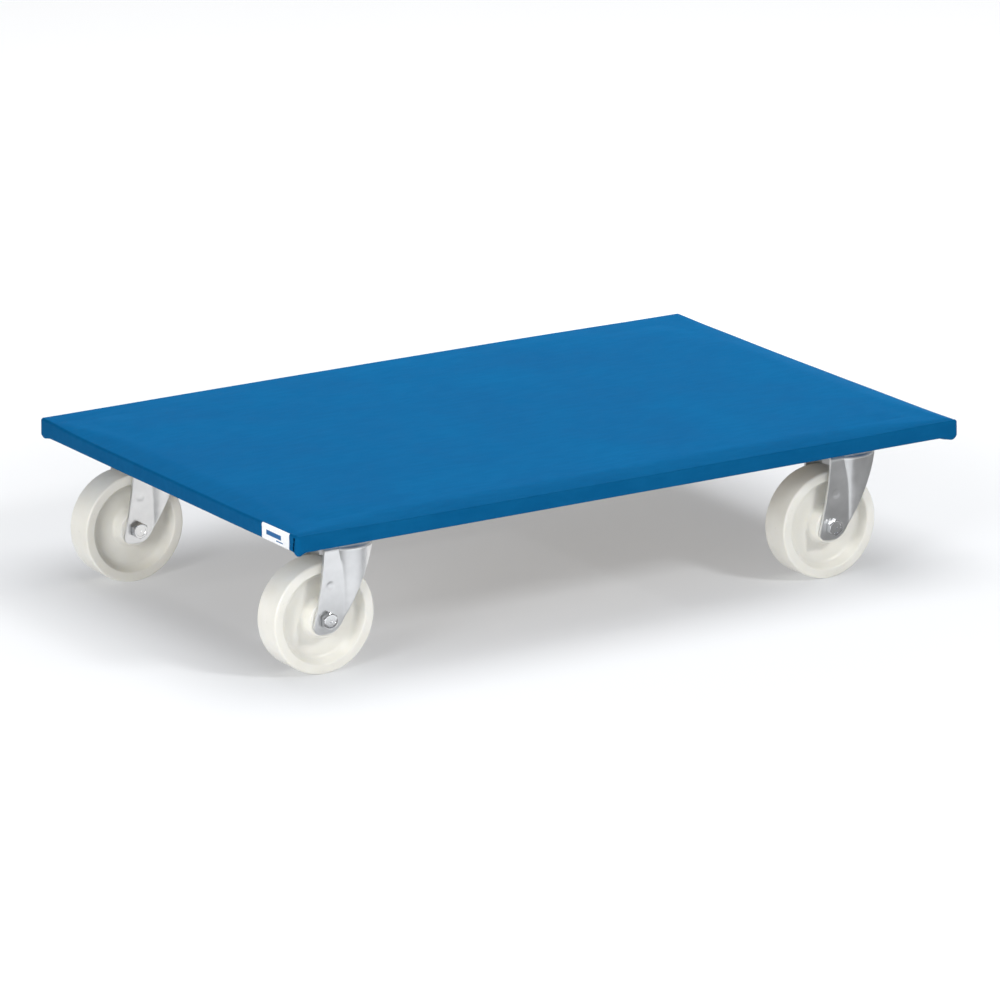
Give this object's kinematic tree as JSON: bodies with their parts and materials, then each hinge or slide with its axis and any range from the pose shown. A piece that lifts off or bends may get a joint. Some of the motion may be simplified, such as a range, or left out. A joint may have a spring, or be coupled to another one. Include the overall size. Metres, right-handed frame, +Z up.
{
  "type": "platform trolley",
  "caption": "Low flat trolley: a rectangular board wrapped in blue coated fabric, carried on swivel casters with white polyamide wheels, for moving heavy goods across a floor.",
  "frame": {"origin": "on the floor, under the middle of the deck", "axes": "+X along the deck's long side, away from the end with the label; +Y across the deck, away from the long side that the label is next to; +Z up"},
  "size_m": [0.8604, 0.566, 0.1808],
  "materials": {
    "cover": "matt coated canvas with a fine weave, felt-backed over the top",
    "board": "sanded birch plywood",
    "label": "white film sticker with a plain blue band",
    "zinc_sheet": "pressed sheet, bright zinc plated",
    "bright_steel": "turned or forged, zinc plated",
    "polyamide": "cream cast polyamide, slightly shiny"
  },
  "bodies": {
    "platform": {"deck_board": "board", "deck_cover": "cover", "deck_label": "label", "front_left_top_plate": "zinc_sheet", "front_left_lower_cup": "zinc_sheet", "front_left_kingpin": "bright_steel", "front_left_screw_1": "bright_steel", "front_left_screw_2": "bright_steel", "front_left_screw_3": "bright_steel", "front_left_screw_4": "bright_steel", "front_right_top_plate": "zinc_sheet", "front_right_lower_cup": "zinc_sheet", "front_right_kingpin": "bright_steel", "front_right_screw_1": "bright_steel", "front_right_screw_2": "bright_steel", "front_right_screw_3": "bright_steel", "front_right_screw_4": "bright_steel", "rear_left_top_plate": "zinc_sheet", "rear_left_lower_cup": "zinc_sheet", "rear_left_kingpin": "bright_steel", "rear_left_screw_1": "bright_steel", "rear_left_screw_2": "bright_steel", "rear_left_screw_3": "bright_steel", "rear_left_screw_4": "bright_steel", "rear_right_top_plate": "zinc_sheet", "rear_right_lower_cup": "zinc_sheet", "rear_right_kingpin": "bright_steel", "rear_right_screw_1": "bright_steel", "rear_right_screw_2": "bright_steel", "rear_right_screw_3": "bright_steel", "rear_right_screw_4": "bright_steel"},
    "front_left_ball_rings": {"front_left_upper_balls": "bright_steel", "front_left_lower_balls": "bright_steel"},
    "front_left_swivel": {"front_left_fork": "zinc_sheet", "front_left_axle_tube": "zinc_sheet", "front_left_axle_bolt": "bright_steel", "front_left_axle_nut": "bright_steel"},
    "front_left_roller": {"front_left_wheel": "polyamide"},
    "front_right_ball_rings": {"front_right_upper_balls": "bright_steel", "front_right_lower_balls": "bright_steel"},
    "front_right_swivel": {"front_right_fork": "zinc_sheet", "front_right_axle_tube": "zinc_sheet", "front_right_axle_bolt": "bright_steel", "front_right_axle_nut": "bright_steel"},
    "front_right_roller": {"front_right_wheel": "polyamide"},
    "rear_left_ball_rings": {"rear_left_upper_balls": "bright_steel", "rear_left_lower_balls": "bright_steel"},
    "rear_left_swivel": {"rear_left_fork": "zinc_sheet", "rear_left_axle_tube": "zinc_sheet", "rear_left_axle_bolt": "bright_steel", "rear_left_axle_nut": "bright_steel"},
    "rear_left_roller": {"rear_left_wheel": "polyamide"},
    "rear_right_ball_rings": {"rear_right_upper_balls": "bright_steel", "rear_right_lower_balls": "bright_steel"},
    "rear_right_swivel": {"rear_right_fork": "zinc_sheet", "rear_right_axle_tube": "zinc_sheet", "rear_right_axle_bolt": "bright_steel", "rear_right_axle_nut": "bright_steel"},
    "rear_right_roller": {"rear_right_wheel": "polyamide"}
  },
  "joints": [
    {"name": "front_left_swivel_turn", "type": "hinge", "parent": "platform", "child": "front_left_swivel", "pos_m": [-0.33, -0.2075, 0.146], "axis": [0, 0, 1], "continuous": true},
    {"name": "front_left_ball_turn", "type": "hinge", "parent": "platform", "child": "front_left_ball_rings", "pos_m": [-0.33, -0.2075, 0.146], "axis": [0, 0, 1], "continuous": true},
    {"name": "front_left_wheel_turn", "type": "hinge", "parent": "front_left_swivel", "child": "front_left_roller", "pos_m": [-0.364, -0.2075, 0.0625], "axis": [0, 1, 0], "continuous": true},
    {"name": "front_right_swivel_turn", "type": "hinge", "parent": "platform", "child": "front_right_swivel", "pos_m": [0.33, -0.2075, 0.146], "axis": [0, 0, 1], "continuous": true},
    {"name": "front_right_ball_turn", "type": "hinge", "parent": "platform", "child": "front_right_ball_rings", "pos_m": [0.33, -0.2075, 0.146], "axis": [0, 0, 1], "continuous": true},
    {"name": "front_right_wheel_turn", "type": "hinge", "parent": "front_right_swivel", "child": "front_right_roller", "pos_m": [0.296, -0.2075, 0.0625], "axis": [0, 1, 0], "continuous": true},
    {"name": "rear_left_swivel_turn", "type": "hinge", "parent": "platform", "child": "rear_left_swivel", "pos_m": [-0.33, 0.2075, 0.146], "axis": [0, 0, 1], "continuous": true},
    {"name": "rear_left_ball_turn", "type": "hinge", "parent": "platform", "child": "rear_left_ball_rings", "pos_m": [-0.33, 0.2075, 0.146], "axis": [0, 0, 1], "continuous": true},
    {"name": "rear_left_wheel_turn", "type": "hinge", "parent": "rear_left_swivel", "child": "rear_left_roller", "pos_m": [-0.364, 0.2075, 0.0625], "axis": [0, 1, 0], "continuous": true},
    {"name": "rear_right_swivel_turn", "type": "hinge", "parent": "platform", "child": "rear_right_swivel", "pos_m": [0.33, 0.2075, 0.146], "axis": [0, 0, 1], "continuous": true},
    {"name": "rear_right_ball_turn", "type": "hinge", "parent": "platform", "child": "rear_right_ball_rings", "pos_m": [0.33, 0.2075, 0.146], "axis": [0, 0, 1], "continuous": true},
    {"name": "rear_right_wheel_turn", "type": "hinge", "parent": "rear_right_swivel", "child": "rear_right_roller", "pos_m": [0.296, 0.2075, 0.0625], "axis": [0, 1, 0], "continuous": true}
  ],
  "couplings": [
    {"joint": "front_left_ball_turn", "follows": "front_left_swivel_turn", "ratio": 0.5},
    {"joint": "front_right_ball_turn", "follows": "front_right_swivel_turn", "ratio": 0.5},
    {"joint": "rear_left_ball_turn", "follows": "rear_left_swivel_turn", "ratio": 0.5},
    {"joint": "rear_right_ball_turn", "follows": "rear_right_swivel_turn", "ratio": 0.5}
  ]
}
